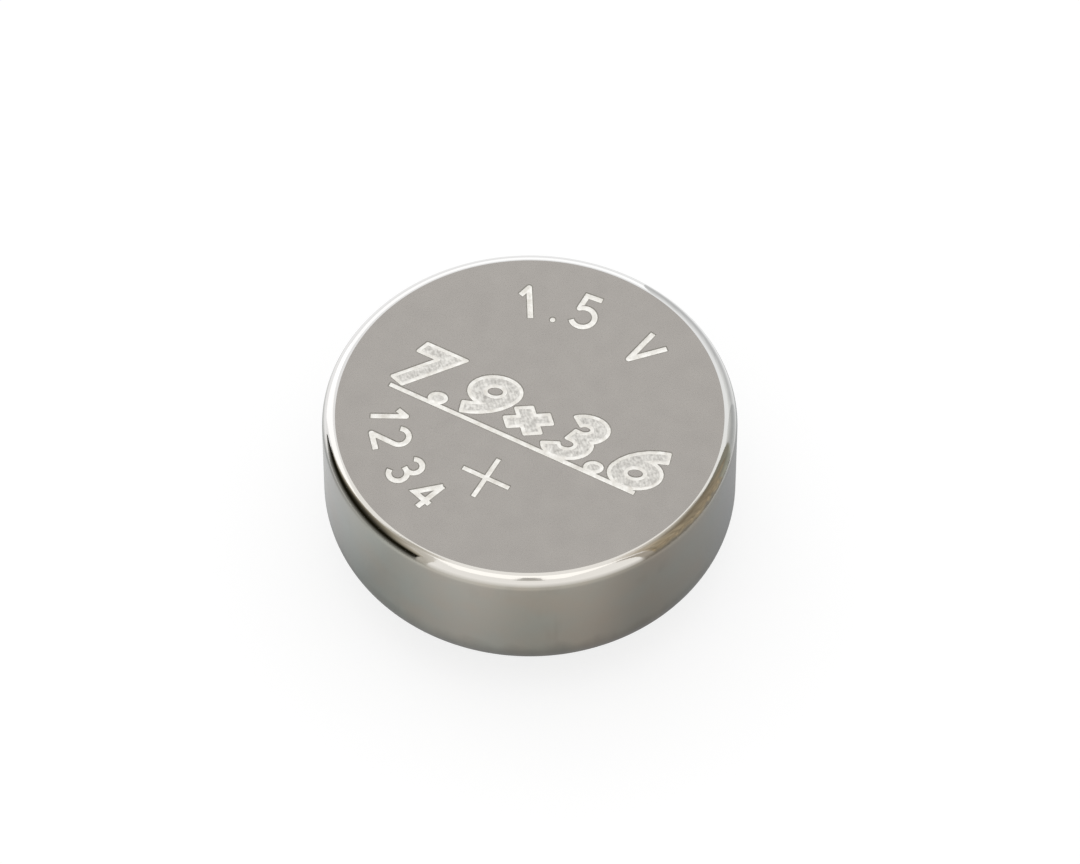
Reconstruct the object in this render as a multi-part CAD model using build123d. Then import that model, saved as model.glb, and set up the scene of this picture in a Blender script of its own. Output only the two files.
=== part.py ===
from build123d import *

import os
from math import acos, degrees, hypot, sqrt

# A small alkaline button cell, 7.9 mm across and 3.6 mm high, standing on its negative cap.
#
# The cell is turned about Z. Each piece is drawn as its half section, with X as the radius and Y as the
# height above the negative contact face, and then revolved. All sizes are in millimetres.
#
# From the top down it holds the drawn positive can, the pressed cathode pellet, the barrier film, the
# absorbent pad, the zinc gel and the folded negative cap. The moulded gasket lies between cap and can,
# and the can's lip is rolled in under it to close the cell.

# The whole cell
cell_diameter = 7.9
cell_height = 3.6

# Positive can: one drawn cup of steel, its flat base upwards
can_wall = 0.20
can_corner_bend = 0.05  # inside radius, where the flat face turns into the side wall
crimp_bend = 0.65  # inside radius of the lip that is rolled in under the gasket
cap_stand_out = 0.65  # the negative face stands this far below the rolled lip
seal_ring_width = 0.22  # gasket seen between the lip's edge and the cap

# Negative cap: one stepped cup of sheet, its rim folded outwards and back down
cap_sheet = 0.18
cap_corner_bend = 0.12  # inside radius, round the contact face
neck_bend = 0.12  # inside radius, where the neck turns out into the shoulder
shoulder_bend = 0.07  # inside radius, where the shoulder turns up into the rim
cap_step = 0.23  # the rim stands out this far beyond the neck
shoulder_rise = 0.20
fold_gap = 0.03  # between the two layers of the fold
free_edge_gap = 0.09  # from the top of the shoulder up to the folded layer's free edge

# Gasket: one moulded ring, with a groove that the folded rim sits in
gasket_wall = 0.31  # between the fold and the can
gasket_foot = 0.24  # between the fold and the barrier film
gasket_pinch = 0.25  # between the fold's free edge and the rolled lip
gasket_lip_wall = 0.20  # of the thin lip inside the fold
gasket_lip_reach = 0.35  # from the top of the fold down to the end of that lip
gasket_bead = 0.07  # squeezed out below the rolled lip

# What the cell holds
pellet_thickness = 1.00
pellet_corner_clearance = 0.07  # beyond the can's inside corner
film_thickness = 0.06
film_edge_clearance = 0.04
pad_thickness = 0.22

# Radii, worked inwards from the can
can_radius = cell_diameter / 2
can_bore_radius = can_radius - can_wall
fold_radius = can_bore_radius - gasket_wall
folded_layer_radius = fold_radius - cap_sheet
rim_radius = folded_layer_radius - fold_gap
rim_bore_radius = rim_radius - cap_sheet
neck_radius = rim_radius - cap_step
gasket_lip_radius = rim_bore_radius - gasket_lip_wall

# Heights, worked down from the can's base
can_base = cell_height - can_wall
pellet_bottom = can_base - pellet_thickness
film_bottom = pellet_bottom - film_thickness
pad_bottom = film_bottom - pad_thickness
fold_top = film_bottom - gasket_foot
fold_centre = fold_top - cap_sheet - fold_gap / 2
gasket_lip_bottom = fold_top - gasket_lip_reach

# The rolled lip, an arc that starts where the straight side wall ends
crimp_radius = crimp_bend + can_wall
crimp_centre_radius = can_radius - crimp_radius
wall_bottom = cap_stand_out + crimp_radius
lip_edge_radius = neck_radius + seal_ring_width
crimp_angle = degrees(acos((lip_edge_radius - crimp_centre_radius) / crimp_radius))

# Heights, worked up from the inside of the rolled lip to the folded rim's free edge
free_edge_middle = (fold_radius + folded_layer_radius) / 2
crimp_inside = wall_bottom - sqrt(crimp_bend**2 - (free_edge_middle - crimp_centre_radius) ** 2)
free_edge = crimp_inside + gasket_pinch
shoulder_top = free_edge - free_edge_gap
neck_top = shoulder_top - shoulder_rise


def ring(inner_radius, outer_radius, bottom, top):
    """The half section of a flat ring, or of a disc where the inner radius is 0."""
    section = Rectangle(outer_radius - inner_radius, top - bottom, align=(Align.MIN, Align.MIN))
    return Pos(inner_radius, bottom) * section


def sheet(outside, thickness):
    """The half section of a sheet of even thickness, from the line along its outside."""
    return make_face(offset(outside, amount=thickness, side=Side.LEFT))


def turned(section):
    """The solid that a half section sweeps out round the cell's axis."""
    return revolve(Plane.XZ * section, Axis.Z)


def can_outside():
    """From the edge of the rolled lip, up the side wall, to the middle of the flat face."""
    lip = CenterArc((crimp_centre_radius, wall_bottom), crimp_radius, -crimp_angle, crimp_angle)
    corners = [(can_radius, wall_bottom), (can_radius, cell_height), (0, cell_height)]
    return Curve() + [lip, FilletPolyline(*corners, radius=can_corner_bend + can_wall)]


def cup_outside(top):
    """From the middle of the contact face, round the shoulder, to a height on the rim."""
    bends = [cap_corner_bend + cap_sheet, neck_bend, shoulder_bend + cap_sheet]
    foot = [(0, 0), (neck_radius, 0), (neck_radius, neck_top)]
    rim = [(rim_radius, shoulder_top), (rim_radius, top)]
    return FilletPolyline(*foot, *rim, radius=bends)


def cup_fill(top):
    """All that lies within the cup's outside, the sheet itself included."""
    return make_face(cup_outside(top) + Polyline((rim_radius, top), (0, top), (0, 0)))


def can_section():
    return sheet(can_outside(), can_wall)


def cap_section():
    """The cup, carried on round the fold and down to its free edge."""
    turn = CenterArc((rim_radius + fold_gap / 2, fold_centre), fold_gap / 2, 180, -180)
    folded_layer = Line((folded_layer_radius, fold_centre), (folded_layer_radius, free_edge))
    return sheet(Curve() + [cup_outside(fold_centre), turn, folded_layer], cap_sheet)


def closed_section():
    """All that lies within the can, closed below by the bead of gasket under the rolled lip."""
    outside = can_outside()
    lip_edge = outside @ 0
    bead_middle = ((neck_radius + lip_edge.X) / 2, cap_stand_out - gasket_bead)
    bead = ThreePointArc((neck_radius, cap_stand_out), bead_middle, lip_edge)
    back = Polyline((0, cell_height), (0, cap_stand_out), (neck_radius, cap_stand_out))
    return make_face(outside + bead + back) - can_section()


def gasket_section():
    """The room that the can, the film and the folded cap leave, and the lip inside the fold."""
    above = ring(0, can_radius, film_bottom, cell_height)
    bore = ring(0, gasket_lip_radius, 0, film_bottom)
    inside_fold = ring(rim_radius, free_edge_middle, free_edge, fold_centre + fold_gap)
    return closed_section() - [above, bore, inside_fold, cap_section(), cup_fill(gasket_lip_bottom)]


def pellet_section():
    """A disc pressed into the can, its upper edge bevelled clear of the can's inside corner."""
    disc = ring(0, can_bore_radius, pellet_bottom, can_base)
    upper_edge = max(disc.vertices(), key=lambda corner: hypot(corner.X, corner.Y))
    return chamfer(upper_edge, can_corner_bend + pellet_corner_clearance)


def film_section():
    return ring(0, can_bore_radius - film_edge_clearance, film_bottom, pellet_bottom)


def pad_section():
    return ring(0, gasket_lip_radius, pad_bottom, film_bottom)


def gel_section():
    """What the cap holds, up through the gasket's inner lip to the pad."""
    within_cap = cup_fill(gasket_lip_bottom) - cap_section()
    return within_cap + ring(0, gasket_lip_radius, gasket_lip_bottom, pad_bottom)


sections = {
    "positive_can": can_section(),
    "negative_cap": cap_section(),
    "sealing_gasket": gasket_section(),
    "cathode_pellet": pellet_section(),
    "barrier_film": film_section(),
    "absorbent_pad": pad_section(),
    "anode_gel": gel_section(),
}

os.makedirs("parts", exist_ok=True)
for node, section in sections.items():
    export_step(turned(section), f"parts/{node}.step")
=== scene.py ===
import math

import bmesh
import bpy
import numpy as np
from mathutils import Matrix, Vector
from mathutils.geometry import delaunay_2d_cdt


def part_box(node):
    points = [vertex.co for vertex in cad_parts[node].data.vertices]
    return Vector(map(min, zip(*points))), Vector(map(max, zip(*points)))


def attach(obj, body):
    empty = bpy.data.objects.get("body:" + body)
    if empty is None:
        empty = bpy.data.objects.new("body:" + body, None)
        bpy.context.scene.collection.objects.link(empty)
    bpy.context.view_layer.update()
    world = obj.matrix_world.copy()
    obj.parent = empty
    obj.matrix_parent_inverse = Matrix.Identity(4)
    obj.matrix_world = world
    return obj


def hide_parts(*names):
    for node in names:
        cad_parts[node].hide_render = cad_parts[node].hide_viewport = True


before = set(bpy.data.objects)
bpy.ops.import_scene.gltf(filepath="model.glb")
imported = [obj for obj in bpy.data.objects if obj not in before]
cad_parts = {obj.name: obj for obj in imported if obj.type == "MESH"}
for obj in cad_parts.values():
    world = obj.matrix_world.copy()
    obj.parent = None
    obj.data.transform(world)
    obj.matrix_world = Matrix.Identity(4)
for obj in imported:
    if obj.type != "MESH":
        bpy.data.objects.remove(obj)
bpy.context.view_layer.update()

# A small alkaline button cell, shown with its flat positive face up.
#
# The drawn can, the folded cap, the moulded gasket and the felt disc are turned from their half sections.
# The marks on the positive face are grooves in the can's mesh. The pressed pellet, the barrier film and
# the gel stay as the frame has them, each with its own material.
#
# Sizes are in millimetres and angles in degrees. A point of a section or of the face is a complex
# number: the radius plus the height times 1j, or x plus y times 1j.

MM = 0.001


def reach(box):
    """How far a round node goes out from the axis on all of its sides."""
    return min(-box[0].x, -box[0].y, box[1].x, box[1].y) / MM


# Sizes that the frame gives
can_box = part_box("positive_can")
cap_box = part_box("negative_cap")
film_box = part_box("barrier_film")
pad_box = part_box("absorbent_pad")
can_radius = reach(can_box)
cell_top = can_box[1].z / MM
fold_top = cap_box[1].z / MM
film_bottom = film_box[0].z / MM
pad_bottom = pad_box[0].z / MM
pad_radius = reach(pad_box)

# The can's sheet, its bend round the face, and its lip, rolled in from where the straight wall ends
can_wall = 0.20
face_edge_radius = 0.25
wall_bottom = 1.50
crimp_radius = 0.85
crimp_angle = 81.9

# The cap's sheet, its bends from the contact face up, and its rim, folded outwards to the free edge
cap_sheet = 0.18
neck_radius = 3.0
rim_radius = 3.23
neck_top = 0.86
shoulder_top = 1.06
cap_bends = [0.30, 0.12, 0.25]
fold_gap = 0.03
free_edge = 1.15

# The gasket's lip inside the fold, and its bead below the can's lip
gasket_lip_radius = 2.85
gasket_lip_bottom = 1.75
bead_height = 0.65
bead_depth = 0.07

# The rounded edge of the felt disc
pad_edge_radius = 0.06

# How finely the turned pieces are made: the angle between points round a bend, and the longest step
turned_sides = 256
arc_step = 4.0
small_bend_step = 15
felt_edge_step = 30
bead_step = 10
wall_step = 0.16

# Distances within which points touch, are one point of the face's mesh, and, in metres, are welded
touching = 1e-6
joined = 1e-5
welded = 2e-8

# Faces that meet at more than this angle keep a sharp edge between them
sharp_edge = 28

# The can's finishes, in the order of its materials
FACE, GROOVE, GROOVE_EDGE, FIGURE, SIDE, INSIDE = range(6)

# Profiles across the stamped marks: distance out from the edge of a stroke, and depth
cut_profile = [(0.016, 0.0), (-0.003, 0.009), (-0.020, 0.013)]
outline_profile = [(0.053, 0.0), (0.035, 0.009), (0.020, 0.012), (-0.028, 0.012), (-0.040, 0.004)]

# Half the width of a cut figure, of the rule and the plus sign, and of a large figure one unit high
cut_half_width = 0.056
rule_half_width = 0.048
figure_half_width = 0.13

# How finely a stroke's round parts are made, and the turn in radians up to which a corner is mitred
figure_step = 12
corner_step = 20
blunt_corner = 0.5
sharp_corner = 2.2

# The plus sign's middle, and the ends of the rule
plus_middle = -1.70j
rule_ends = [-2.68 - 0.66j, 2.62 - 0.66j]

# The voltage along the far side, its tops outwards, and the angle of each figure
voltage_radius = 2.30
voltage_height = 0.74
voltage_angles = {"1": 121, ".": 109, "5": 95, "V": 64}

# The plain figures near the edge, their tops inwards, and the angle of each
edge_figures_radius = 3.02
edge_figures_height = 0.68
edge_figures_angles = {"1": 208, "2": 221, "3": 238, "4": 253}

# The large figures across the middle: the cell's diameter and height
large_figures = "7.9x3.6"
large_foot_middle = 0.05 - 0.505j
large_height = 0.92
large_widening = 1.25
large_slant = 0.30
large_gap = 0.36


# --- Points in a plane ---------------------------------------------------------------------------


def arc(centre, radius, start, end, step=arc_step):
    """Points round an arc, between two angles in degrees."""
    count = max(2, math.ceil(abs(end - start) / step))
    return list(centre + radius * np.exp(1j * np.radians(np.linspace(start, end, count + 1))))


def run(start, end):
    """Points along a straight run."""
    count = max(1, math.ceil(abs(end - start) / wall_step))
    return list(np.linspace(start, end, count + 1))


def filleted(corners, radii):
    """A line through the corners, each one between its ends rounded to its radius."""
    line = [corners[0]]
    for before, corner, after, radius in zip(corners, corners[1:], corners[2:], radii):
        back = (before - corner) / abs(before - corner)
        turn = np.angle((corner - after) / (before - corner))
        start = corner + back * radius * math.tan(abs(turn) / 2)
        centre = start - back * 1j * math.copysign(radius, turn)
        first = math.degrees(np.angle(start - centre))
        line += arc(centre, radius, first, first + math.degrees(turn))
    return line + [corners[-1]]


def beside(line, distance, closed=False, mitre_up_to=blunt_corner):
    """The line at a distance to the left of another, rounded where that one turns away sharply."""
    line = np.array(line)
    if closed:
        before, after = np.roll(line, 1), np.roll(line, -1)
    else:
        before = np.concatenate([[2 * line[0] - line[1]], line[:-1]])
        after = np.concatenate([line[1:], [2 * line[-1] - line[-2]]])
    moved = []
    for last, point, following in zip(before, line, after):
        heading = (point - last) / abs(point - last)
        turn = np.angle((following - point) / heading)
        if turn < -mitre_up_to:
            first = math.degrees(np.angle(1j * heading))
            moved += arc(point, distance, first, first + math.degrees(turn), corner_step)
        else:
            moved.append(point + 1j * heading * np.exp(0.5j * turn) * distance / math.cos(turn / 2))
    return moved


def stroke_outline(path, half_width, closed):
    """The loops round a stroke, with flat ends on an open one. A path of one point makes a dot."""
    if len(path) == 1:
        return [arc(path[0], half_width, 360, 0, corner_step)[:-1]]
    back = path[::-1]
    if closed:
        return [beside(way, half_width, True) for way in (path, back)]
    sides = [beside(way, half_width, False, sharp_corner) for way in (path, back)]
    return [sides[0] + sides[1]]


# --- Strokes of the stamped marks ----------------------------------------------------------------


def curve(centre, radius, start, end):
    """The round part of a figure."""
    return arc(centre, radius, start, end, figure_step)


def bowl(centre, radius):
    """A closed ring, as the round part of a 6 is."""
    return curve(centre, radius, 0, 360)[:-1]


# Each figure is a list of paths in a box one unit high, each with whether it is closed. The plus sign's
# box is one unit wide too, about its middle.
FIGURES = {
    "1": [([0.02 + 0.76j, 0.25 + 1j, 0.25 + 0j], False)],
    "2": [(curve(0.28 + 0.72j, 0.28, 160, -35) + [0j, 0.58 + 0j], False)],
    "3": [
        (curve(0.26 + 0.76j, 0.24, 150, -90) + [0.16 + 0.52j], False),
        ([0.16 + 0.52j] + curve(0.26 + 0.26j, 0.26, 90, -150), False),
    ],
    "4": [([0.42 + 1j, 0.3j, 0.6 + 0.3j], False), ([0.42 + 0j, 0.42 + 1j], False)],
    "5": [([0.52 + 1j, 0.1 + 1j] + curve(0.27 + 0.31j, 0.31, 130, -145), False)],
    "6": [(bowl(0.28 + 0.28j, 0.28), True), (curve(0.70 + 0.28j, 0.70, 180, 110), False)],
    "7": [([1j, 0.56 + 1j, 0.2 + 0j], False)],
    "9": [(bowl(0.28 + 0.72j, 0.28), True), (curve(-0.14 + 0.72j, 0.70, 0, -70), False)],
    "V": [([1j, 0.3 + 0j, 0.6 + 1j], False)],
    ".": [([0.1 + 0j], False)],
    "x": [([0.15j, 0.5 + 0.65j], False), ([0.65j, 0.5 + 0.15j], False)],
    "+": [([-0.5 + 0j, 0.5 + 0j], False), ([-0.5j, 0.5j], False)],
}


def figure_width(figure):
    return max(point.real for path, closed in FIGURES[figure] for point in path)


def figure_outlines(figure, half_width):
    """The outlines of a figure's strokes, in its box one unit high."""
    return [stroke_outline(path, half_width, closed) for path, closed in FIGURES[figure]]


def placed(strokes, place):
    """Strokes with each of their points put where a rule says."""
    return [[[place(p) for p in loop] for loop in stroke] for stroke in strokes]


def figure_on_arc(figure, foot_radius, angle, height, top_outwards):
    """A figure set upright on a circle round the face, its top outwards or inwards."""
    turn = np.exp(1j * math.radians(angle - 90 if top_outwards else angle + 90))
    foot = foot_radius * np.exp(1j * math.radians(angle))
    middle = figure_width(figure) / 2
    strokes = figure_outlines(figure, cut_half_width / height)
    return placed(strokes, lambda p: foot + (p - middle) * height * turn)


def cut_strokes():
    """The plus sign, the voltage along the far side, the plain figures near the edge and the rule."""
    strokes = placed(figure_outlines("+", rule_half_width), lambda p: p + plus_middle)
    for figure, angle in voltage_angles.items():
        strokes += figure_on_arc(figure, voltage_radius, angle, voltage_height, True)
    for figure, angle in edge_figures_angles.items():
        strokes += figure_on_arc(figure, edge_figures_radius, angle, edge_figures_height, False)
    strokes.append(stroke_outline(rule_ends, rule_half_width, False))
    return strokes


def leaning(p):
    """A point of a figure one unit high, at the size and the slant of the large figures."""
    return large_height * (p.real * large_widening + p.imag * (large_slant + 1j))


def large_strokes():
    """The large figures in a slanting row, centred about a point on their foot line."""
    strokes = []
    x = 0.0
    for figure in large_figures:
        outlines = placed(figure_outlines(figure, figure_half_width), leaning)
        strokes += placed(outlines, lambda p: x + p)
        x += figure_width(figure) * large_height * large_widening + large_gap
    shift = large_foot_middle - (x - large_gap + large_slant * large_height) / 2
    return placed(strokes, lambda p: p + shift)


# --- Meshes --------------------------------------------------------------------------------------


def out_from_edge(points, strokes):
    """How far each point lies outside the nearest stroke's edge, or, below 0, inside it."""
    nearest = np.full(len(points), np.inf)
    for stroke in strokes:
        starts = np.concatenate(stroke)
        ends = np.concatenate([np.roll(loop, -1) for loop in stroke])
        along = ends - starts
        offset = points[:, None] - starts
        share = np.clip((offset * along.conj()).real / np.abs(along) ** 2, 0, 1)
        distance = np.abs(offset - share * along).min(axis=1)
        level = points.imag[:, None]
        passed = (ends.imag > level).astype(int) - (starts.imag > level)
        beyond = (offset.real * along.imag - offset.imag * along.real) * passed < 0
        turns = (passed * beyond).sum(axis=1)
        nearest = np.minimum(nearest, np.where(turns != 0, -distance, distance))
    return nearest


def depth_at(distance, profile):
    """How deep a stamp goes at a distance out from the stroke's edge."""
    distances, depths = zip(*sorted(profile))
    return np.interp(distance, distances, depths)


def stamped_face(radius):
    """The flat face with its marks pressed in: points, their depths, triangles and their finishes."""
    cut = cut_strokes()
    outlined = large_strokes()
    points = list(radius * np.exp(2j * np.pi * np.arange(turned_sides) / turned_sides))
    edges = []
    for strokes, profile in ((cut, cut_profile), (outlined, outline_profile)):
        for distance, _ in profile:
            for loop in sum(strokes, []):
                ring = beside(loop, distance, True) if distance > 0 else beside(loop[::-1], -distance, True)
                first = len(points)
                points += ring
                edges += [(first + i, first + (i + 1) % len(ring)) for i in range(len(ring))]
    flat = [Vector((p.real, p.imag)) for p in points]
    vertices, _, triangles, *_ = delaunay_2d_cdt(flat, edges, [], 0, joined)
    points = np.array([complex(v.x, v.y) for v in vertices])
    triangles = np.array(triangles)
    cut_depths = depth_at(out_from_edge(points, cut), cut_profile)
    outlined_depths = depth_at(out_from_edge(points, outlined), outline_profile)
    depths = np.maximum(cut_depths, outlined_depths)
    middles = points[triangles].mean(axis=1)
    to_cut = out_from_edge(middles, cut)
    to_outlined = out_from_edge(middles, outlined)
    finishes = np.full(len(middles), FACE)
    # the band at a groove's edge, which takes the painted shade
    finishes[(to_cut < cut_profile[0][0]) | (to_outlined < outline_profile[0][0])] = GROOVE_EDGE
    finishes[(to_cut < cut_profile[1][0]) | (to_outlined < outline_profile[1][0])] = GROOVE
    finishes[(to_cut > cut_profile[0][0]) & (to_outlined < outline_profile[-1][0])] = FIGURE
    return points, depths, triangles, finishes


def turned(section, finishes, closed=False):
    """Points and faces that a half section sweeps out round the axis, with a finish for each band.

    Where the section is on the axis its ring is one point, and the faces beside it are triangles.
    """
    sweep = np.exp(2j * np.pi * np.arange(turned_sides) / turned_sides)
    points = []
    rings = []
    for p in section:
        if p.real < touching:
            rings.append([len(points)] * turned_sides)
            points.append((0.0, 0.0, p.imag))
        else:
            rings.append(list(range(len(points), len(points) + turned_sides)))
            points += [(p.real * s.real, p.real * s.imag, p.imag) for s in sweep]
    faces = []
    face_finishes = []
    following = rings[1:] + rings[:1] * closed
    for low, high, finish in zip(rings, following, finishes):
        for i in range(turned_sides):
            k = (i + 1) % turned_sides
            face = list(dict.fromkeys([low[i], low[k], high[k], high[i]]))
            faces.append(face)
            face_finishes.append(finish)
    return points, faces, face_finishes


def piece(name, points, faces, finishes, materials):
    """A closed mesh piece of the cell, in metres, with its faces turned outwards."""
    mesh = bpy.data.meshes.new(name)
    mesh.from_pydata([(x * MM, y * MM, z * MM) for x, y, z in points], [], faces)
    for material in materials:
        mesh.materials.append(material)
    mesh.polygons.foreach_set("material_index", np.array(finishes, dtype=np.int32))
    mesh.polygons.foreach_set("use_smooth", np.ones(len(faces), dtype=bool))
    work = bmesh.new()
    work.from_mesh(mesh)
    bmesh.ops.remove_doubles(work, verts=work.verts, dist=welded)
    bmesh.ops.recalc_face_normals(work, faces=work.faces)
    work.to_mesh(mesh)
    work.free()
    mesh.set_sharp_from_angle(angle=math.radians(sharp_edge))
    made = bpy.data.objects.new(name, mesh)
    bpy.context.scene.collection.objects.link(made)
    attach(made, "root")
    return made


# --- Half sections -------------------------------------------------------------------------------

face_bend_centre = can_radius - face_edge_radius + (cell_top - face_edge_radius) * 1j
crimp_centre = can_radius - crimp_radius + wall_bottom * 1j
fold_centre = rim_radius + fold_gap / 2 + (fold_top - cap_sheet - fold_gap / 2) * 1j


def can_outside():
    """From the edge of the rolled lip up to the edge of the flat face."""
    lip = arc(crimp_centre, crimp_radius, -crimp_angle, 0)
    wall = run(lip[-1], face_bend_centre + face_edge_radius)
    return lip[:-1] + wall[:-1] + arc(face_bend_centre, face_edge_radius, 0, 90)


def can_inside():
    """From the middle of the can's inner face down to the inside of the lip."""
    inside_radius = face_edge_radius - can_wall
    bend = arc(face_bend_centre, inside_radius, 90, 0, small_bend_step)
    lip = arc(crimp_centre, crimp_radius - can_wall, 0, -crimp_angle)
    wall = run(face_bend_centre + inside_radius, lip[0])
    return [(cell_top - can_wall) * 1j] + bend[:-1] + wall[:-1] + lip


def cap_outside():
    """From the middle of the contact face, round the shoulder and the fold, to the free edge."""
    foot = [0j, neck_radius + 0j, neck_radius + neck_top * 1j]
    rim = [rim_radius + shoulder_top * 1j, rim_radius + fold_centre.imag * 1j]
    fold = arc(fold_centre, fold_gap / 2, 180, 0, small_bend_step)
    return filleted(foot + rim, cap_bends)[:-1] + fold + [rim_radius + fold_gap + free_edge * 1j]


def cap_inside():
    """The same line on the sheet's other side."""
    return beside(cap_outside(), cap_sheet)


def bead_line(lip_edge):
    """The gasket's bead below, from the cap's neck across to the edge of the can's lip."""
    chord = lip_edge.real - neck_radius
    radius = chord**2 / 8 / bead_depth + bead_depth / 2
    half_turn = math.degrees(math.asin(chord / 2 / radius))
    centre = (neck_radius + lip_edge.real) / 2 + (bead_height - bead_depth + radius) * 1j
    return arc(centre, radius, -90 - half_turn, -90 + half_turn, bead_step)[:-1] + [lip_edge]


def gasket_loop():
    """All round the gasket: the bead, the can's inside, the film, and both sides of the folded cap."""
    can_side = [p for p in can_inside()[::-1] if p.imag < film_bottom]
    can_side.append(can_radius - can_wall + film_bottom * 1j)
    inner_lip = [gasket_lip_radius + film_bottom * 1j, gasket_lip_radius + gasket_lip_bottom * 1j]
    bore = rim_radius - cap_sheet
    inner_lip.append(bore + gasket_lip_bottom * 1j)
    fold = []
    for p in cap_inside():
        beside_inner_lip = p.real > bore - touching and p.imag > gasket_lip_bottom
        if beside_inner_lip or p.real > rim_radius + cap_sheet:
            fold.append(p)
    rim_foot = [rim_radius + free_edge * 1j]
    neck = [p for p in cap_outside() if p.real > neck_radius - touching and bead_height < p.imag < free_edge]
    return bead_line(can_outside()[0]) + can_side + inner_lip + fold + rim_foot + neck[::-1]


def pad_section():
    """From the middle of the felt disc's underside, round its edge, to the middle of its top."""
    corner = pad_radius - pad_edge_radius
    below = corner + (pad_bottom + pad_edge_radius) * 1j
    above = corner + (film_bottom - pad_edge_radius) * 1j
    lower_edge = arc(below, pad_edge_radius, -90, 0, felt_edge_step)
    upper_edge = arc(above, pad_edge_radius, 0, 90, felt_edge_step)
    return [pad_bottom * 1j, corner + pad_bottom * 1j] + lower_edge + upper_edge + [film_bottom * 1j]


# --- Shader nodes --------------------------------------------------------------------------------


def add(tree, kind, inputs=None, **settings):
    """A shader node with its settings, and its inputs given as values or as sockets to link."""
    made = tree.nodes.new("ShaderNode" + kind)
    for name, value in settings.items():
        setattr(made, name, value)
    for name, value in (inputs or {}).items():
        if isinstance(value, bpy.types.NodeSocket):
            tree.links.new(value, made.inputs[name])
        else:
            made.inputs[name].default_value = value
    return made


def maths(tree, operation, first, second=0.0):
    return add(tree, "Math", {0: first, 1: second}, operation=operation).outputs[0]


def weighed(tree, masks, start=0.0):
    """The sum of masks, each times its share, added to a starting value."""
    total = start
    for mask, share in masks:
        total = maths(tree, "ADD", maths(tree, "MULTIPLY", mask, share), total)
    return total


def between(tree, value, low, high, to_low=0.0, to_high=1.0):
    """A value carried from one range to another, held at its ends."""
    levels = {"Value": value, "From Min": low, "From Max": high, "To Min": to_low, "To Max": to_high}
    return add(tree, "MapRange", levels).outputs["Result"]


def blended(tree, mask, first, second, blend_type="MIX"):
    """A colour that goes from the first to the second where the mask goes from 0 to 1."""
    made = add(tree, "Mix", data_type="RGBA", blend_type=blend_type)
    for socket, value in zip((made.inputs[0], made.inputs[6], made.inputs[7]), (mask, first, second)):
        if isinstance(value, bpy.types.NodeSocket):
            tree.links.new(value, socket)
        elif isinstance(value, tuple):
            socket.default_value = (*value, 1)
        else:
            socket.default_value = value
    return made.outputs[2]


def toned(tree, place, tones, interpolation="LINEAR"):
    """A colour taken from a row of tones, each given with its place from 0 to 1."""
    ramp = add(tree, "ValToRGB", {"Fac": place})
    ramp.color_ramp.interpolation = interpolation
    stops = ramp.color_ramp.elements
    for number, (position, colour) in enumerate(tones):
        stop = stops[number] if number < 2 else stops.new(1.0)
        stop.position = position
        stop.color = (*colour, 1)
    return ramp.outputs["Color"]


def shown(red, green, blue):
    """The colour that shows as these levels out of 255, by the sRGB curve."""
    levels = [level / 255 for level in (red, green, blue)]
    return tuple(v / 12.92 if v < 0.04045 else ((v + 0.055) / 1.055) ** 2.4 for v in levels)


def group(name, inputs, outputs):
    """A node group, the sockets that its inputs come in by, and those that its outputs leave by."""
    tree = bpy.data.node_groups.new(name, "ShaderNodeTree")
    for socket in inputs:
        tree.interface.new_socket(socket, in_out="INPUT", socket_type="NodeSocketFloat")
    for socket in outputs:
        tree.interface.new_socket(socket, in_out="OUTPUT", socket_type="NodeSocketFloat")
    return tree, tree.nodes.new("NodeGroupInput").outputs, tree.nodes.new("NodeGroupOutput").inputs


# The part of a noise's range that becomes a mask from 0 to 1
noise_range = (0.25, 0.75)


def grain_group():
    """Even grain of a given size: a mask from 0 to 1 about one half."""
    tree, came, leaves = group("grain", ["Size", "Detail", "Shift"], ["Mask"])
    place = add(tree, "TexCoord").outputs["Object"]
    per_metre = maths(tree, "DIVIDE", 1 / MM, came["Size"])
    levels = {"Vector": place, "W": came["Shift"], "Scale": per_metre, "Detail": came["Detail"]}
    noise = add(tree, "TexNoise", levels, noise_dimensions="4D")
    tree.links.new(between(tree, noise.outputs["Fac"], *noise_range), leaves["Mask"])
    return tree


def streak_group():
    """Streaks up a drawn wall: how many there are round a radian, and how far each runs."""
    tree, came, leaves = group("drawing streaks", ["Fineness", "Run"], ["Mask"])
    place = add(tree, "TexCoord").outputs["Object"]
    apart = add(tree, "SeparateXYZ", {0: place})
    flat = add(tree, "CombineXYZ", {"X": apart.outputs["X"], "Y": apart.outputs["Y"]}).outputs[0]
    outward = add(tree, "VectorMath", {0: flat}, operation="NORMALIZE").outputs[0]
    scaled = add(tree, "VectorMath", {0: outward, "Scale": came["Fineness"]}, operation="SCALE").outputs[0]
    height = maths(tree, "DIVIDE", apart.outputs["Z"], came["Run"])
    along = add(tree, "CombineXYZ", {"Z": maths(tree, "MULTIPLY", height, 1 / MM)}).outputs[0]
    where = add(tree, "VectorMath", {0: scaled, 1: along}, operation="ADD").outputs[0]
    noise = add(tree, "TexNoise", {"Vector": where, "Scale": 1.0, "Detail": 3.0})
    tree.links.new(between(tree, noise.outputs["Fac"], *noise_range), leaves["Mask"])
    return tree


grain = grain_group()
streaks = streak_group()


def grained(tree, size, detail=2.0, shift=0.0):
    levels = {"Size": size, "Detail": detail, "Shift": shift}
    return add(tree, "Group", levels, node_tree=grain).outputs["Mask"]


def streaked(tree, fineness, run_length):
    levels = {"Fineness": fineness, "Run": run_length}
    return add(tree, "Group", levels, node_tree=streaks).outputs["Mask"]


# --- Finishes ------------------------------------------------------------------------------------


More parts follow.
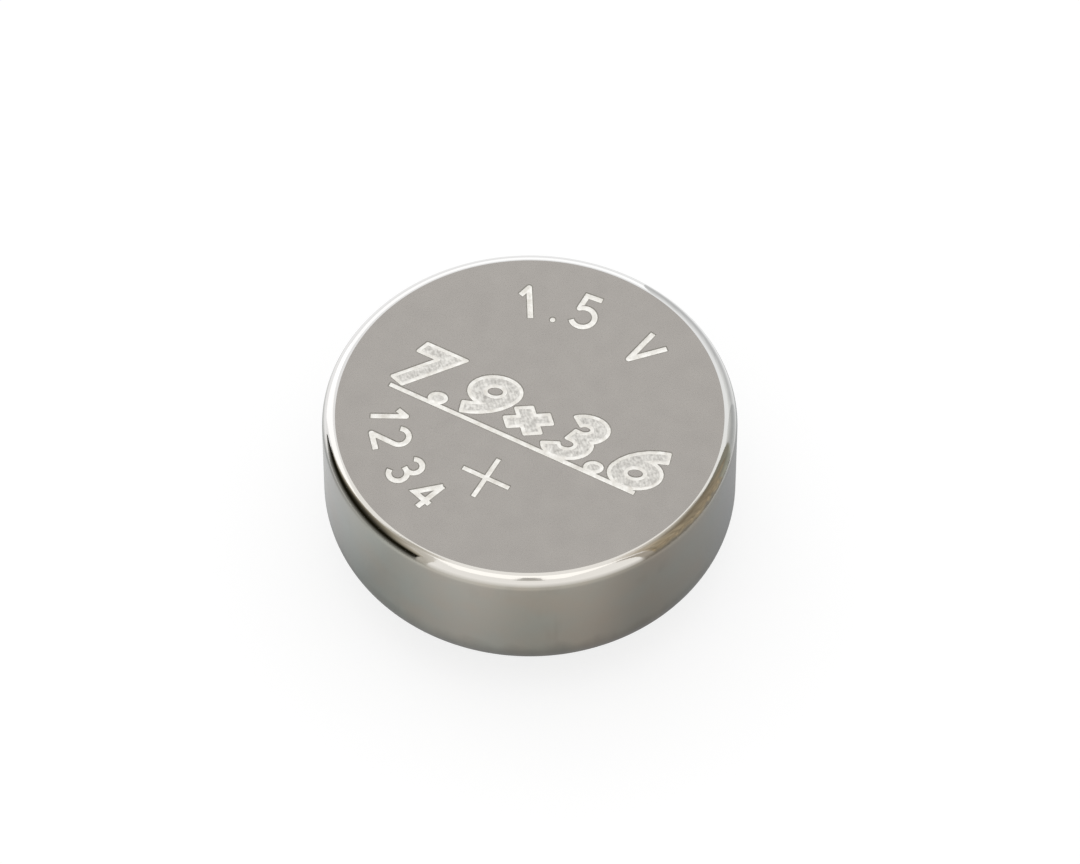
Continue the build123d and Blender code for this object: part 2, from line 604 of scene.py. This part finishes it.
def finish(name, roughness, metallic=0.0):
    """A material, its tree and its shader."""
    material = bpy.data.materials.new(name)
    material.use_nodes = True
    shader = material.node_tree.nodes["Principled BSDF"]
    shader.inputs["Roughness"].default_value = roughness
    shader.inputs["Metallic"].default_value = metallic
    return material, material.node_tree, shader


def set_relief(tree, shader, height, depth):
    """Relief of a given depth where the height goes from 0 to 1."""
    bump = add(tree, "Bump", {"Height": height, "Strength": 1.0, "Distance": depth * MM})
    tree.links.new(bump.outputs["Normal"], shader.inputs["Normal"])


# How far the grain of a satin and of a matt finish takes the roughness either way
satin_spread = (-0.04, 0.05)
matt_spread = (0.08, -0.08)

# The radians that a wave texture goes through in one unit
wave_turn = 20


def satin_nickel(name, dark, light, roughness, grain_size, relief, cloud_size=1.4, cloud_share=0.5):
    """Plated sheet with a fine even satin and faint clouds in its tone."""
    material, tree, shader = finish(name, roughness, 1.0)
    fine = grained(tree, grain_size)
    clouds = grained(tree, cloud_size, shift=3.0)
    tone = weighed(tree, [(fine, 1 - cloud_share), (clouds, cloud_share)])
    tree.links.new(blended(tree, tone, dark, light), shader.inputs["Base Color"])
    roughnesses = [roughness + change for change in satin_spread]
    tree.links.new(between(tree, fine, 0, 1, *roughnesses), shader.inputs["Roughness"])
    set_relief(tree, shader, fine, relief)
    return material


def tooled_nickel(line_gap, line_share, patch_size, relief):
    """The lightly recessed middle of the large figures, left rough by fine slanting tool lines."""
    material, tree, shader = finish("tooled figure", 0.42, 1.0)
    place = add(tree, "TexCoord").outputs["Object"]
    per_metre = math.tau / wave_turn / (line_gap * MM)
    levels = {"Vector": place, "Scale": per_metre, "Distortion": 9.0, "Detail": 3.0}
    lines = add(tree, "TexWave", levels, bands_direction="DIAGONAL").outputs["Fac"]
    patches = grained(tree, patch_size, detail=3.0, shift=8.0)
    mask = weighed(tree, [(lines, line_share), (patches, 1 - line_share)])
    colour = blended(tree, mask, shown(168, 165, 160), shown(244, 242, 237))
    tree.links.new(colour, shader.inputs["Base Color"])
    set_relief(tree, shader, mask, relief)
    return material


# The can's satin wall's painted reflection bands: its tone at angles round the axis, from +X
painted_reflection_wall_tones = [
    (-180, shown(152, 151, 147)),
    (-151, shown(154, 154, 152)),
    (-136, shown(128, 128, 126)),
    (-121, shown(148, 149, 144)),
    (-106, shown(158, 160, 153)),
    (-91, shown(177, 174, 166)),
    (-76, shown(190, 186, 178)),
    (-61, shown(161, 158, 148)),
    (-46, shown(178, 172, 162)),
    (-31, shown(140, 134, 125)),
    (-16, shown(147, 143, 135)),
    (-1, shown(144, 144, 138)),
    (14, shown(139, 140, 142)),
    (40, shown(150, 150, 149)),
    (80, shown(158, 157, 153)),
    (110, shown(146, 144, 140)),
    (150, shown(157, 155, 151)),
    (180, shown(152, 151, 147)),
]

# The tone of the polished bend round the face, at the same angles: the polished nickel's own tone, with a
# warm tint painted in by angle as a painted reflection
polish_and_painted_reflection_tones = [
    (-180, (0.765, 0.757, 0.750)),
    (-150, (0.765, 0.753, 0.742)),
    (-121, (0.768, 0.745, 0.700)),
    (-30, (0.775, 0.742, 0.690)),
    (0, (0.765, 0.747, 0.705)),
    (25, (0.755, 0.757, 0.740)),
    (60, (0.755, 0.758, 0.755)),
    (180, (0.765, 0.757, 0.750)),
]

# Below the face, the polish starts to fade at the first depth and ends at the second
polish_fade = (0.09, 0.165)

# Painted shade: the wall's colour darkens towards the lip between these heights, down to this share of its
# tone
painted_foot_shade = (1.0, 1.7)
painted_foot_shade_share = 0.58

# Streaks up the wall: how many there are round a radian, and how far each runs
fine_streaks = (26.0, 2.5)
broad_streaks = (9.0, 4.0)

# The wall's tone at its darkest, and what the streaks and the clouds add to it
darkest_share = 0.86
fine_share = 0.05
broad_share = 0.14
wall_clouds_share = 0.16
wall_clouds_size = 0.6

# The faint warm and cool casts of the wall, and the size of their patches
warm_cast = (1.0, 0.95, 0.91)
cool_cast = (0.93, 0.99, 1.0)
cast_size = 0.8

# The roughness and the relief of the wall's satin and of the polish
satin_roughness = 0.26
polished_roughness = 0.08
polished_relief_share = 0.35
drawing_relief = 0.0012
streak_relief_share = 0.6
speck_size = 0.05


def round_the_can(tones):
    """Tones given by their angle about the axis, placed from 0 to 1 for a whole turn."""
    return [((degrees + 180) / 360, colour) for degrees, colour in tones]


def drawn_nickel():
    """The can's side: polished round the face's edge, with a warm painted reflection tint by angle, then
    satin with painted reflection bands by angle, painted shade towards the lip and drawing streaks.
    """
    material, tree, shader = finish("drawn nickel", satin_roughness, 1.0)
    place = add(tree, "SeparateXYZ", {0: add(tree, "TexCoord").outputs["Object"]}).outputs
    polish_ends, polish_starts = [(cell_top - depth) * MM for depth in polish_fade[::-1]]
    polish = between(tree, place["Z"], polish_ends, polish_starts)
    turn = between(tree, maths(tree, "ARCTAN2", place["Y"], place["X"]), -math.pi, math.pi)
    fine = streaked(tree, *fine_streaks)
    broad = streaked(tree, *broad_streaks)
    clouds = grained(tree, wall_clouds_size, shift=5.0)
    tones = [(fine, fine_share), (broad, broad_share), (clouds, wall_clouds_share)]
    # painted shade, darker towards the lip
    foot = between(tree, place["Z"], painted_foot_shade[0] * MM, painted_foot_shade[1] * MM, painted_foot_shade_share, 1.0)
    tone = maths(tree, "MULTIPLY", weighed(tree, tones, darkest_share), foot)
    cast = blended(tree, grained(tree, cast_size, shift=11.0), warm_cast, cool_cast)
    # painted reflection bands round the wall, by angle
    bands = toned(tree, turn, round_the_can(painted_reflection_wall_tones), "B_SPLINE")
    wall = blended(tree, tone, (0, 0, 0), blended(tree, 1.0, bands, cast, "MULTIPLY"))
    # the polished bend's own tone with its painted reflection tint, by angle
    polished = toned(tree, turn, round_the_can(polish_and_painted_reflection_tones))
    tree.links.new(blended(tree, polish, wall, polished), shader.inputs["Base Color"])
    roughness = between(tree, polish, 0, 1, satin_roughness, polished_roughness)
    tree.links.new(roughness, shader.inputs["Roughness"])
    speck = grained(tree, speck_size)
    uneven = weighed(tree, [(fine, streak_relief_share), (speck, 1 - streak_relief_share)])
    calm = maths(tree, "MULTIPLY", uneven, between(tree, polish, 0, 1, 1.0, polished_relief_share))
    set_relief(tree, shader, calm, drawing_relief)
    return material


def mottled(name, dark, light, roughness, grain_size, relief):
    """A matt material with grain in its tone and its surface."""
    material, tree, shader = finish(name, roughness)
    mask = grained(tree, grain_size, detail=3.0)
    tree.links.new(blended(tree, mask, dark, light), shader.inputs["Base Color"])
    roughnesses = [roughness + change for change in matt_spread]
    tree.links.new(between(tree, mask, 0, 1, *roughnesses), shader.inputs["Roughness"])
    set_relief(tree, shader, mask, relief)
    return material


# --- The pieces ----------------------------------------------------------------------------------

# The darkest and lightest tones of the positive face and of the marks stamped into it. The grooves' tones,
# up to white, are a brighter stamped nickel with a painted highlight, and the dark band along each groove's
# edge is painted shade.
face_tones = (0.381, 0.360, 0.338), (0.413, 0.391, 0.366)
groove_and_painted_highlight_tones = shown(212, 208, 200), shown(255, 254, 251)
groove_edge_painted_shade_tones = shown(112, 109, 103), shown(160, 157, 150)

# Each metal: its tones, roughness, grain size and relief, and the size and share of its clouds
face_nickel = satin_nickel("satin face", *face_tones, 0.28, 0.05, 0.0005, 0.45, 0.85)
groove_nickel_and_painted_highlight = satin_nickel("bright groove", *groove_and_painted_highlight_tones, 0.45, 0.03, 0.003, 0.13, 0.75)
groove_edge_painted_shade_nickel = satin_nickel("groove edge", *groove_edge_painted_shade_tones, 0.5, 0.05, 0.002, 0.2)
inside_nickel = satin_nickel("can inside", (0.36, 0.35, 0.33), (0.44, 0.43, 0.41), 0.42, 0.06, 0.002)
cap_nickel = satin_nickel("cap nickel", (0.56, 0.545, 0.515), (0.64, 0.625, 0.595), 0.22, 0.06, 0.0012)
figure_nickel = tooled_nickel(line_gap=0.05, line_share=0.2, patch_size=0.07, relief=0.004)

# Each of the rest: its darkest and lightest tone, roughness, grain size and relief
nylon = mottled("gasket nylon", (0.70, 0.68, 0.60), (0.80, 0.78, 0.71), 0.45, 0.12, 0.004)
oxide = mottled("pressed oxide", (0.02, 0.02, 0.02), (0.075, 0.073, 0.070), 0.7, 0.08, 0.012)
film = mottled("film paper", (0.70, 0.69, 0.63), (0.82, 0.81, 0.76), 0.55, 0.10, 0.003)
felt = mottled("pad felt", (0.70, 0.69, 0.65), (0.90, 0.89, 0.86), 0.9, 0.06, 0.02)
zinc = mottled("zinc gel", (0.20, 0.205, 0.22), (0.50, 0.51, 0.53), 0.4, 0.14, 0.03)


def drawn_can():
    """The can, its face stamped. The plain part of the face isn't smoothed, so no mark shades it."""
    outside = can_outside()
    inside = can_inside()
    section = inside + outside
    bands = [INSIDE] * (len(inside) - 1) + [SIDE] * len(outside)
    points, faces, finishes = turned(section, bands)
    face_points, depths, triangles, face_finishes = stamped_face(outside[-1].real)
    first = len(points)
    points += [(p.real, p.imag, cell_top - depth) for p, depth in zip(face_points, depths)]
    faces += (triangles + first).tolist()
    finishes += face_finishes.tolist()
    materials = [face_nickel, groove_nickel_and_painted_highlight, groove_edge_painted_shade_nickel, figure_nickel, drawn_nickel(), inside_nickel]
    made = piece("drawn_can", points, faces, finishes, materials)
    for polygon in made.data.polygons:
        polygon.use_smooth = polygon.material_index != FACE
    return made


def turned_piece(name, section, material, closed=False):
    """A piece of one material, turned from its half section."""
    points, faces, finishes = turned(section, [0] * len(section), closed)
    return piece(name, points, faces, finishes, [material])


can = drawn_can()
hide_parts("positive_can")

cap = turned_piece("folded_cap", cap_outside() + cap_inside()[::-1], cap_nickel)
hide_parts("negative_cap")

gasket = turned_piece("moulded_gasket", gasket_loop(), nylon, True)
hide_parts("sealing_gasket")

pad = turned_piece("felt_disc", pad_section(), felt)
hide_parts("absorbent_pad")

for node, material in (("cathode_pellet", oxide), ("barrier_film", film), ("anode_gel", zinc)):
    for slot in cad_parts[node].material_slots:
        slot.link = "OBJECT"
        slot.material = material


# --- The stage -----------------------------------------------------------------------------------

# The camera, and the point beside and below the middle of the face that it looks at. It sees what is
# further off than its clip start, in metres.
camera_azimuth = 29.0
camera_elevation = 53.47
camera_distance = 144.0
camera_lens = 253.1
camera_clip_start = 0.01
aim_right = 0.195
aim_down = 0.336

# The paper floor: half its width and its drop below the cell in metres, its grey under the lamps, and
# the white that it adds where it is seen
floor_size = 1.5
floor_drop = 1e-5
floor_tone = 0.32
floor_lift = 0.75

# Polished metal sees the floor with a painted glow: none near the cell, as painted shade. The glow comes in
# between two distances from the axis, sooner on the side of the left lamp as painted light, and it is full
# under the cap.
open_floor_from = (1.5, 9.0)
painted_lit_floor_from = (2.5, 5.0)
painted_lit_floor_azimuth = -105
under_cap_within = (2.6, 2.9)

# How far the near cards, those behind them and the far cards stand from the axis, and the number of
# points along each card
near_cards = 5.0
behind = 0.1
far_cards = 15.0
card_points = 41

# A near card shows only in metal within its reach, where it fades between two distances. The reach
# grows with the height up the card.
card_reach = (1.42, 1.7)
reach_gain = 0.3

# The foot of the near cards, and the height at which one ends and the next begins
card_foot = 3.09
card_join = 4.25

# The streaks that make a card's tones uneven
card_streaks = (30.0, 1.4)

# The light from all round, and the lamps' distance in metres and their radiance
ambient_level = 0.80
lamp_distance = 0.4
lamp_radiance = 0.10


def toward(azimuth, elevation):
    """The direction at an azimuth, counted from the camera to its right, and an elevation."""
    a = math.radians(camera_azimuth + azimuth)
    e = math.radians(elevation)
    return Vector((math.sin(a) * math.cos(e), -math.cos(a) * math.cos(e), math.sin(e)))


def stage_mesh(name, points, faces, material):
    mesh = bpy.data.meshes.new(name)
    mesh.from_pydata(points, [], faces)
    mesh.materials.append(material)
    made = bpy.data.objects.new(name, mesh)
    bpy.context.scene.collection.objects.link(made)
    return made


def painted_floor_glow_for_metal(tree, place):
    """How much painted glow polished metal sees on the floor, from 0 to 1, none near the cell as painted
    shade.
    """
    away = add(tree, "VectorMath", {0: place}, operation="LENGTH").outputs["Value"]
    lit_way = toward(painted_lit_floor_azimuth, 0)
    sideways = add(tree, "VectorMath", {0: place, 1: lit_way}, operation="DOT_PRODUCT").outputs["Value"]
    open_floor = between(tree, away, *[distance * MM for distance in open_floor_from])
    painted_lit_floor = between(tree, sideways, *[distance * MM for distance in painted_lit_floor_from])
    under_cap = between(tree, away, *[distance * MM for distance in under_cap_within], 1.0, 0.0)
    return maths(tree, "MAXIMUM", maths(tree, "MAXIMUM", open_floor, painted_lit_floor), under_cap)


def white_paper():
    """A pale floor that shows white, keeps the cell's shadow, and lets the light through from below."""
    material, tree, shader = finish("white paper", 0.9)
    shader.inputs["Base Color"].default_value = (floor_tone, floor_tone, floor_tone, 1)
    shader.inputs["Specular IOR Level"].default_value = 0.0
    shader.inputs["Emission Color"].default_value = (1, 1, 1, 1)
    geometry = add(tree, "NewGeometry").outputs
    clear = add(tree, "BsdfTransparent").outputs["BSDF"]
    from_above = add(tree, "MixShader", {0: geometry["Backfacing"], 1: shader.outputs["BSDF"], 2: clear})
    tree.links.new(from_above.outputs[0], tree.nodes["Material Output"].inputs["Surface"])
    rays = add(tree, "LightPath").outputs
    # glossy rays see the floor's painted glow, with painted shade near the cell
    painted_glow_for_metal = maths(tree, "MULTIPLY", rays["Is Glossy Ray"], painted_floor_glow_for_metal(tree, geometry["Position"]))
    direct = maths(tree, "MAXIMUM", rays["Is Camera Ray"], rays["Is Transmission Ray"])
    lift = maths(tree, "MULTIPLY", maths(tree, "MAXIMUM", painted_glow_for_metal, direct), floor_lift)
    tree.links.new(lift, shader.inputs["Emission Strength"])
    return material


corners = [(-1, -1), (1, -1), (1, 1), (-1, 1)]
floor_points = [(x * floor_size, y * floor_size, -floor_drop) for x, y in corners]
stage_mesh("floor", floor_points, [(0, 1, 2, 3)], white_paper())


def out_of_reach(tree):
    """1 where the metal that mirrors a point of a near card is too far from it, and 0 within reach."""
    way = add(tree, "LightPath").outputs["Ray Length"]
    height = add(tree, "SeparateXYZ", {0: add(tree, "NewGeometry").outputs["Position"]}).outputs["Z"]
    above = maths(tree, "SUBTRACT", height, cell_top * MM)
    squares = maths(tree, "MULTIPLY", way, way), maths(tree, "MULTIPLY", above, above)
    level_way = maths(tree, "SQRT", maths(tree, "SUBTRACT", *squares))
    level_way = maths(tree, "SUBTRACT", level_way, maths(tree, "MULTIPLY", above, reach_gain))
    return between(tree, level_way, card_reach[0] * MM, card_reach[1] * MM)


def card_paint(name, tones, mottle, near):
    """Paint that glows in tones that go up the card, made uneven by streaks."""
    material = bpy.data.materials.new(name)
    material.use_nodes = True
    tree = material.node_tree
    tree.nodes.remove(tree.nodes["Principled BSDF"])
    rise = add(tree, "SeparateXYZ", {0: add(tree, "TexCoord").outputs["UV"]}).outputs["Y"]
    streak = streaked(tree, *card_streaks)
    uneven = maths(tree, "MULTIPLY", maths(tree, "SUBTRACT", streak, 0.5), mottle)
    colour = toned(tree, maths(tree, "ADD", rise, uneven), tones)
    strength = maths(tree, "ADD", uneven, 1.0)
    glow = add(tree, "Emission", {"Color": colour, "Strength": strength}).outputs[0]
    if near:
        clear = add(tree, "BsdfTransparent").outputs[0]
        glow = add(tree, "MixShader", {0: out_of_reach(tree), 1: glow, 2: clear}).outputs[0]
    tree.links.new(glow, tree.nodes["Material Output"].inputs["Surface"])
    return material


def card(name, distance, stands, tones, mottle=0.0):
    """A glowing card round the cell that only polished metal sees, a painted reflection and no lamp.

    It stands at a row of azimuths, from one height to another at each. Its tones go up it, each
    given with its share of the card's height.
    """
    azimuths, lows, highs = zip(*stands)
    across = np.linspace(azimuths[0], azimuths[-1], card_points)
    points = []
    for levels in (lows, highs):
        for azimuth, level in zip(across, np.interp(across, azimuths, levels)):
            points.append((toward(azimuth, 0) * distance + Vector((0, 0, level))) * MM)
    faces = [(i, i + 1, card_points + i + 1, card_points + i) for i in range(card_points - 1)]
    made = stage_mesh(name, points, faces, card_paint(name, tones, mottle, distance < far_cards))
    uv = made.data.uv_layers.new(name="rise")
    for loop in made.data.loops:
        uv.data[loop.index].uv = (0.5, float(loop.vertex_index >= card_points))
    made.visible_camera = False
    made.visible_diffuse = False
    made.visible_shadow = False
    made.visible_transmission = False


# Each card's stands, as azimuth, foot and top, and its tones, as share of the height and colour

black_foot = [
    (-93, 3.62, 3.88),
    (-88, 3.40, card_join),
    (-85, 3.15, card_join),
    (-83.5, card_foot, card_join),
    (-37.5, card_foot, card_join),
]
black_foot_tones = [
    (0, (0.46, 0.46, 0.44)),
    (0.3, (0.19, 0.19, 0.175)),
    (0.44, (0.075, 0.073, 0.066)),
    (0.57, (0.028, 0.027, 0.021)),
    (0.7, (0.008, 0.007, 0.003)),
]
card("black card foot", near_cards, black_foot, black_foot_tones)

black_top = [
    (-90, card_join, 4.35),
    (-86, card_join, 4.7),
    (-82, card_join, 5.4),
    (-78, card_join, 6.7),
    (-74, card_join, 9.0),
    (-70, card_join, 11.6),
    (-66, card_join, 12.6),
    (-60, card_join, 11.0),
    (-55, card_join, 9.4),
    (-51, card_join, 7.3),
    (-48, card_join, 6.5),
    (-45, card_join, 6.1),
    (-41, card_join, 5.5),
    (-37.5, card_join, 5.0),
]
black_top_tones = [
    (0, (0.014, 0.013, 0.009)),
    (0.05, (0.034, 0.031, 0.023)),
    (0.12, (0.10, 0.09, 0.07)),
    (0.2, (0.18, 0.165, 0.13)),
    (0.32, (0.315, 0.29, 0.235)),
    (0.5, (0.42, 0.39, 0.335)),
    (0.7, (0.53, 0.50, 0.45)),
    (1, (0.72, 0.70, 0.66)),
]
card("black card top", near_cards, black_top, black_top_tones)

grey_strip = [
    (-60, card_foot, 12.4),
    (-45, card_foot, 8.8),
    (-40, card_foot, 7.2),
    (-37, card_foot, 6.2),
    (-33.5, card_foot, 4.9),
]
grey_strip_tones = [
    (0, (0.64, 0.62, 0.58)),
    (0.4, (0.52, 0.50, 0.46)),
    (0.75, (0.66, 0.64, 0.60)),
    (1, (0.72, 0.70, 0.66)),
]
card("grey strip", near_cards + behind, grey_strip, grey_strip_tones)

tan_strip = [(37.3, card_foot, 7.6), (41.6, card_foot, 8.4)]
tan_strip_tones = [(0, (0.41, 0.38, 0.335)), (1, (0.45, 0.415, 0.37))]
card("tan strip", near_cards, tan_strip, tan_strip_tones)

brown_foot = [(41.5, card_foot, card_join), (77, card_foot, card_join)]
brown_foot_tones = [
    (0, (0.43, 0.40, 0.35)),
    (0.25, (0.34, 0.31, 0.26)),
    (0.45, (0.43, 0.365, 0.26)),
    (0.6, (0.26, 0.225, 0.17)),
    (0.8, (0.43, 0.355, 0.245)),
    (1, (0.25, 0.205, 0.15)),
]
card("brown card foot", near_cards, brown_foot, brown_foot_tones, 0.9)

olive_foot = [
    (77, card_foot, card_join),
    (84, card_foot, card_join),
    (88, 3.7, card_join),
    (91, card_join - 0.05, card_join),
]
olive_foot_tones = [
    (0, (0.42, 0.42, 0.38)),
    (0.35, (0.37, 0.37, 0.32)),
    (0.6, (0.33, 0.325, 0.27)),
    (0.8, (0.27, 0.26, 0.215)),
    (1, (0.24, 0.225, 0.18)),
]
card("olive card foot", near_cards, olive_foot, olive_foot_tones, 0.5)

brown_top = [
    (41.5, card_join, 4.8),
    (43, card_join, 5.8),
    (45, card_join, 7.6),
    (50, card_join, 10.2),
    (60, card_join, 12.8),
]
brown_top_tones = [
    (0, (0.29, 0.25, 0.18)),
    (0.12, (0.40, 0.335, 0.235)),
    (0.22, (0.31, 0.275, 0.21)),
    (0.32, (0.45, 0.385, 0.29)),
    (0.6, (0.50, 0.455, 0.385)),
    (0.85, (0.62, 0.575, 0.52)),
    (1, (0.78, 0.75, 0.71)),
]
card("brown card top", near_cards, brown_top, brown_top_tones, 0.35)

brown_side = [
    (60, card_join, 12.8),
    (72, card_join, 14.8),
    (86, card_join, 17.0),
]
brown_side_tones = [
    (0, (0.27, 0.225, 0.165)),
    (0.08, (0.33, 0.28, 0.20)),
    (0.15, (0.19, 0.16, 0.12)),
    (0.22, (0.26, 0.215, 0.155)),
    (0.33, (0.25, 0.22, 0.17)),
    (0.45, (0.37, 0.34, 0.29)),
    (0.6, (0.47, 0.44, 0.38)),
    (0.85, (0.60, 0.55, 0.49)),
    (1, (0.78, 0.75, 0.71)),
]
card("brown card side", near_cards, brown_side, brown_side_tones, 0.25)

olive_side = [
    (86, card_join, 17.0),
    (90, card_join, 17.4),
    (92, 4.4, 17.5),
    (94, 4.9, 17.5),
    (97, 5.8, 17.5),
    (104, 8.2, 17.0),
]
olive_side_tones = [
    (0, (0.27, 0.26, 0.215)),
    (0.12, (0.25, 0.235, 0.185)),
    (0.22, (0.17, 0.155, 0.115)),
    (0.33, (0.25, 0.23, 0.185)),
    (0.45, (0.40, 0.375, 0.32)),
    (0.6, (0.53, 0.505, 0.46)),
    (1, (0.78, 0.76, 0.73)),
]
card("olive card side", near_cards, olive_side, olive_side_tones, 0.16)

grey_side = [(84, card_foot, 5.6), (104, card_foot, 5.6)]
grey_side_tones = [
    (0, (0.44, 0.45, 0.45)),
    (0.4, (0.46, 0.46, 0.46)),
    (0.5, (0.53, 0.53, 0.52)),
    (0.65, (0.62, 0.62, 0.61)),
    (0.8, (0.71, 0.71, 0.70)),
    (1, (0.87, 0.87, 0.86)),
]
card("grey side card", near_cards + behind, grey_side, grey_side_tones, 0.1)

pale_side = [(104, card_foot, 5.1), (150, card_foot, 5.1)]
pale_side_tones = [
    (0, (0.72, 0.72, 0.72)),
    (0.15, (0.70, 0.70, 0.70)),
    (0.3, (0.59, 0.59, 0.59)),
    (0.4, (0.60, 0.60, 0.60)),
    (0.65, (0.76, 0.76, 0.75)),
    (1, (0.97, 0.97, 0.96)),
]
card("pale side card", near_cards + behind, pale_side, pale_side_tones, 0.1)

left_wing = [(-155, 36, 44), (-140, 37, 54), (-119, 32.5, 62), (-106, 26, 58), (-99, 22, 56)]
left_wing_tones = [
    (0, (0.75, 0.74, 0.71)),
    (0.25, (0.47, 0.45, 0.40)),
    (0.45, (0.55, 0.53, 0.48)),
    (0.75, (0.68, 0.66, 0.62)),
    (1, (0.84, 0.82, 0.79)),
]
card("left wing card", far_cards, left_wing, left_wing_tones)

right_wing = [(95, 34, 60), (119, 31, 60), (137, 27, 55), (150, 30, 46)]
right_wing_tones = [
    (0, (0.46, 0.43, 0.37)),
    (0.3, (0.56, 0.53, 0.47)),
    (0.7, (0.68, 0.65, 0.60)),
    (1, (0.84, 0.81, 0.77)),
]
card("right wing card", far_cards, right_wing, right_wing_tones)

lens = [(-7, 18, 70), (7, 18, 70)]
lens_tones = [(0, (0.58, 0.57, 0.55)), (0.3, (0.46, 0.45, 0.44)), (1, (0.66, 0.66, 0.64))]
card("lens", far_cards, lens, lens_tones)


def show_white(tree):
    """1 for the rays that show the background itself, and 0 for those that only light a surface."""
    path = add(tree, "LightPath").outputs
    seen = maths(tree, "MAXIMUM", path["Is Camera Ray"], path["Is Glossy Ray"])
    return maths(tree, "MAXIMUM", seen, path["Is Transmission Ray"])


def studio():
    """An even pale light from all round, behind which the background shows white."""
    world = bpy.data.worlds.new("studio")
    world.use_nodes = True
    tree = world.node_tree
    background = tree.nodes["Background"]
    background.inputs["Color"].default_value = (1, 1, 1, 1)
    tree.links.new(between(tree, show_white(tree), 0, 1, ambient_level, 1.0), background.inputs["Strength"])
    return world


def softbox(name, azimuth, elevation, width, length):
    """A soft lamp aimed at the cell, its power worked out from its size and its radiance."""
    data = bpy.data.lights.new(name, "AREA")
    data.shape = "RECTANGLE"
    data.size = width
    data.size_y = length
    data.energy = lamp_radiance * math.pi**2 * width * length
    lamp = bpy.data.objects.new(name, data)
    place = toward(azimuth, elevation)
    lamp.location = place * lamp_distance
    lamp.rotation_euler = place.to_track_quat("Z", "Y").to_euler()
    lamp.visible_camera = False
    bpy.context.scene.collection.objects.link(lamp)


def set_camera():
    """A camera that looks down at the positive face, from well away."""
    data = bpy.data.cameras.new("camera")
    data.lens = camera_lens
    data.clip_start = camera_clip_start
    camera = bpy.data.objects.new("camera", data)
    bpy.context.scene.collection.objects.link(camera)
    back = toward(0, camera_elevation)
    right = toward(90, 0)
    up = back.cross(right)
    aim = Vector((0, 0, cell_top * MM)) + right * aim_right * MM - up * aim_down * MM
    camera.location = aim + back * camera_distance * MM
    camera.rotation_euler = back.to_track_quat("Z", "Y").to_euler()
    bpy.context.scene.camera = camera


bpy.context.scene.world = studio()
softbox("overhead softbox", -12, 78, width=0.26, length=0.24)
softbox("back softbox", 180, 27, width=0.62, length=0.20)
softbox("left softbox", -137, 31, width=0.17, length=0.38)
set_camera()
bpy.context.scene.view_settings.view_transform = "Standard"
